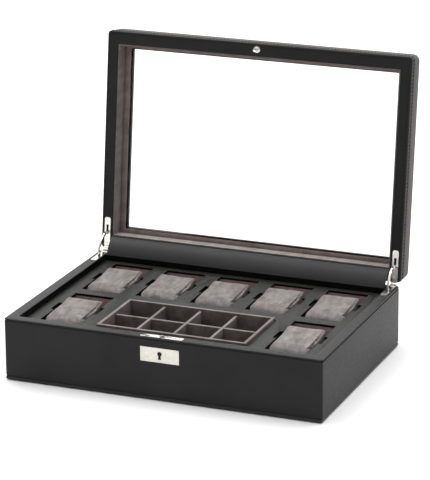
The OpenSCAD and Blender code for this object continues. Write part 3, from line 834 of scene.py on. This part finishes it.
def swollen(mesh, voxel, cap):
    pillow = bpy.data.objects.new("pillow", mesh)
    scene.collection.objects.link(pillow)
    remesh = pillow.modifiers.new("even mesh", "REMESH")
    remesh.mode = "VOXEL"
    remesh.voxel_size = voxel
    even = evaluated(pillow)
    pillow.modifiers.clear()
    pillow.data = even
    rest = [v.co.copy() for v in even.vertices]
    cloth = pillow.modifiers.new("swelling", "CLOTH")
    cloth.settings.use_pressure = True
    cloth.settings.uniform_pressure_force = 4.0
    cloth.settings.effector_weights.gravity = 0.0
    cloth.settings.quality = 6
    for step in range(1, swelling_steps + 1):
        scene.frame_set(step)
    blown = evaluated(pillow)
    pillow.modifiers.clear()
    for v, swelled, old in zip(even.vertices, blown.vertices, rest):
        move = swelled.co - old
        v.co = old + move * min(1.0, cap / max(move.length, 1e-9))
    scene.frame_set(1)
    smooth = pillow.modifiers.new("smooth", "SUBSURF")
    smooth.levels = smooth.render_levels = 1
    result = evaluated(pillow)
    bpy.data.objects.remove(pillow)
    return result


pillow_mesh = swollen(pillow_block(0.7 * MM), 1.5 * MM, 0.9 * MM)
print("pillow:", len(pillow_mesh.vertices), "points")

# %% [markdown]
# Each cushion is a copy with its own soft dents, because no two pillows are stuffed alike. A seam
# is pressed in where the top strip meets each side panel. The copy remembers each point's place in
# the cushion's own frame, so that the nap's pattern belongs to the cushion.

# %% Place the seven cushions
seam_x, seam_width, seam_depth = pillow_half.x - 1.3 * MM, 0.7 * MM, 0.7
slow_dent, fine_dent, inward = 0.45, 0.25, 0.1
for number, node in enumerate(sorted(n for n in frame["nodes"] if n.startswith("cushion_"))):
    mesh = pillow_mesh.copy()
    low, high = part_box(node)
    middle = (low + high) / 2
    seed = Vector((number * 7.3, number * 3.1, number * 5.7))
    places = []
    normals = [v.normal.copy() for v in mesh.vertices]
    for v, n in zip(mesh.vertices, normals):
        local = Vector((v.co.x - pillow_middle.x, v.co.y, v.co.z))
        dent = (slow_dent * noise.noise(local * 75 + seed)
                + fine_dent * noise.noise(local * 190 + seed))
        pressed = seam_depth * math.exp(-((abs(local.x) - seam_x) / seam_width) ** 2)
        v.co += n * (dent - inward - pressed) * MM
        for axis in range(3):
            reach = pillow_half[axis]
            centre = (0, 0, pillow_middle.z)[axis]
            v.co[axis] = max(centre - reach, min(centre + reach, v.co[axis]))
        places.extend(v.co + Vector((0.5 * number, 0, 0)))
        v.co += Vector((middle.x, middle.y, 0))
    attribute = mesh.attributes.new("cushion_place", "FLOAT_VECTOR", "POINT")
    attribute.data.foreach_set("vector", places)
    piece = place(mesh, node + "_pillow", cushion_suede, node, (node,), 180)
    # Side panels take the darker suede: partly the nap, partly painted shade from the well around
    # them.
    second_material(piece, shaded_side_suede, lambda face: abs(face.normal.x) > 0.8)
print("cushions:", len(pillow_mesh.polygons), "faces each")

# %% [markdown]
# ## Floor and light
# The box stands on a white table under a very large soft light that hangs above and behind it, so
# tops are bright, faces towards the camera are dark, and the shadow on the table is faint. The room's
# brightness simply grows towards that light. One lamp adds crisp glints to the metal.

# %% Set the stage
floor_shape = bmesh.new()
bmesh.ops.create_grid(floor_shape, x_segments=1, y_segments=1, size=15.0)
floor_mesh = mesh_of(floor_shape, "floor")
paper, nodes, links, shader = start_material("white paper", Roughness=0.9, Specular_IOR_Level=0.1)
tone = noise_value(nodes, links, coordinates(nodes), 2.0)
links.new(ramp(nodes, links, tone, (0.93, 0.93, 0.93), (0.95, 0.95, 0.95)),
          shader.inputs["Base Color"])
floor_mesh.materials.append(paper)
floor = bpy.data.objects.new("floor", floor_mesh)
scene.collection.objects.link(floor)

room = bpy.data.worlds.new("white room")
room.use_nodes = True
nodes, links = room.node_tree.nodes, room.node_tree.links
towards = nodes.new("ShaderNodeVectorMath")
towards.operation = "DOT_PRODUCT"
light_from = (0.20, 0.50, 0.84)
towards.inputs[1].default_value = light_from
links.new(nodes.new("ShaderNodeTexCoord").outputs["Generated"], towards.inputs[0])
links.new(spread(nodes, links, towards.outputs["Value"], 0.3, 2.0, -0.2, 0.95),
          nodes["Background"].inputs["Strength"])
nodes["Background"].inputs["Color"].default_value = (1, 1, 1, 1)
scene.world = room


def lamp(name, place_at, target, size, power):
    data = bpy.data.lights.new(name, "AREA")
    data.shape = "DISK"
    data.size = size
    data.energy = power
    light = bpy.data.objects.new(name, data)
    light.location = place_at
    light.rotation_euler = (Vector(target) - Vector(place_at)).to_track_quat("-Z", "Y").to_euler()
    scene.collection.objects.link(light)
    return light


lamp("large lamp", (-0.75, 0.3, 1.75), (0, 0, 0.05), 1.2, 9.6)

# %% [markdown]
# ## Camera
# A lens this long flattens the box, so its edges run nearly parallel, as in catalogue pictures. The
# camera's three axes are worked out from its heading, its tilt and a trace of roll.

# %% Set the camera
camera_place, focal_length = (0.98327, -2.40234, 0.97056), 225.5
azimuth, elevation, roll = math.radians(22.019), math.radians(17.897), math.radians(-0.381)
forward = Vector((-math.sin(azimuth) * math.cos(elevation),
                  math.cos(azimuth) * math.cos(elevation), -math.sin(elevation)))
right = forward.cross(Vector((0, 0, 1))).normalized()
up = right.cross(forward)
right, up = (math.cos(roll) * right + math.sin(roll) * up,
             math.cos(roll) * up - math.sin(roll) * right)
lens = bpy.data.cameras.new("camera")
lens.sensor_fit = "HORIZONTAL"
lens.sensor_width = 36.0
lens.lens = focal_length
lens.clip_end = 60.0
camera = bpy.data.objects.new("camera", lens)
turn = Matrix((right, up, -forward)).transposed().to_4x4()
camera.matrix_world = Matrix.Translation(camera_place) @ turn
scene.collection.objects.link(camera)
scene.camera = camera
scene.view_settings.view_transform = "Standard"
print("camera at", [round(c, 3) for c in camera.location])
